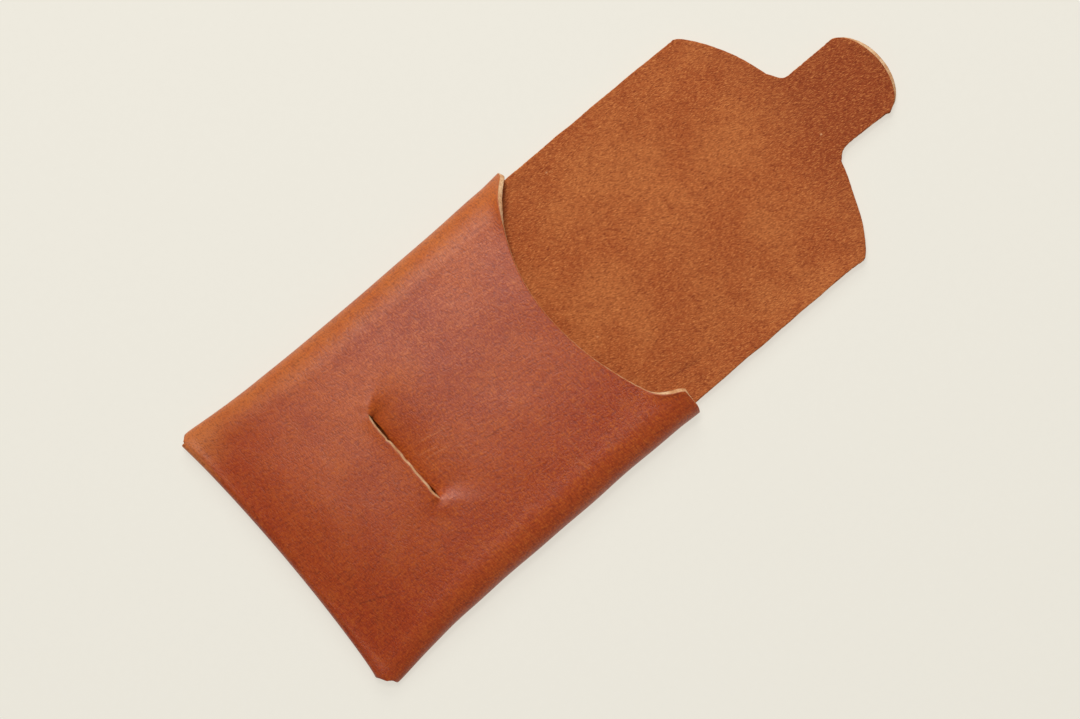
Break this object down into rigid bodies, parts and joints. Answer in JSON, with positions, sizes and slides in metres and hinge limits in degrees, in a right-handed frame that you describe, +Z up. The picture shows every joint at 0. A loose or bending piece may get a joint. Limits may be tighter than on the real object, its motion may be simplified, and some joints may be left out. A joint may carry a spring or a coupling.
{
  "type": "folded leather card case",
  "caption": "Slim open-topped case folded from one blank of thick leather, with a long flap whose tab tucks into a slot in the front.",
  "frame": {"origin": "centre of the whole open case's outline, at the height of the lowest faces of the two wings", "axes": "+Y from the bottom fold towards the tab, +X across the case, +Z up out of the front panel"},
  "size_m": [0.0794, 0.1907, 0.0108],
  "materials": {
    "grain_leather": "smooth reddish-brown grain side with a soft wax sheen",
    "flesh_leather": "matt orange-brown flesh side with short nap"
  },
  "bodies": {
    "pouch": {"front_panel": "grain_leather", "left_side_fold": "grain_leather", "right_side_fold": "grain_leather", "bottom_fold": "grain_leather", "left_wing": "grain_leather", "right_wing": "grain_leather", "back_panel": "flesh_leather", "flap_fold": "flesh_leather"},
    "flap": {"flap": "flesh_leather"},
    "tab_root": {"tab_root": "flesh_leather"},
    "tab_tip": {"tab_tip": "flesh_leather"}
  },
  "joints": [
    {"name": "flap_hinge", "type": "hinge", "parent": "pouch", "child": "flap", "pos_m": [0, 0.01235, 0.00715], "axis": [1, 0, 0], "range_deg": [0, 179.9], "deforming": ["flap_fold"]},
    {"name": "tab_tuck", "type": "hinge", "parent": "flap", "child": "tab_root", "pos_m": [0, 0.07345, 0.0024], "axis": [1, 0, 0], "range_deg": [0, 29]},
    {"name": "tab_level", "type": "hinge", "parent": "tab_root", "child": "tab_tip", "pos_m": [0, 0.08305, 0.0024], "axis": [1, 0, 0], "range_deg": [-29, 0]}
  ],
  "couplings": [
    {"joint": "tab_level", "follows": "tab_tuck", "ratio": -1}
  ]
}
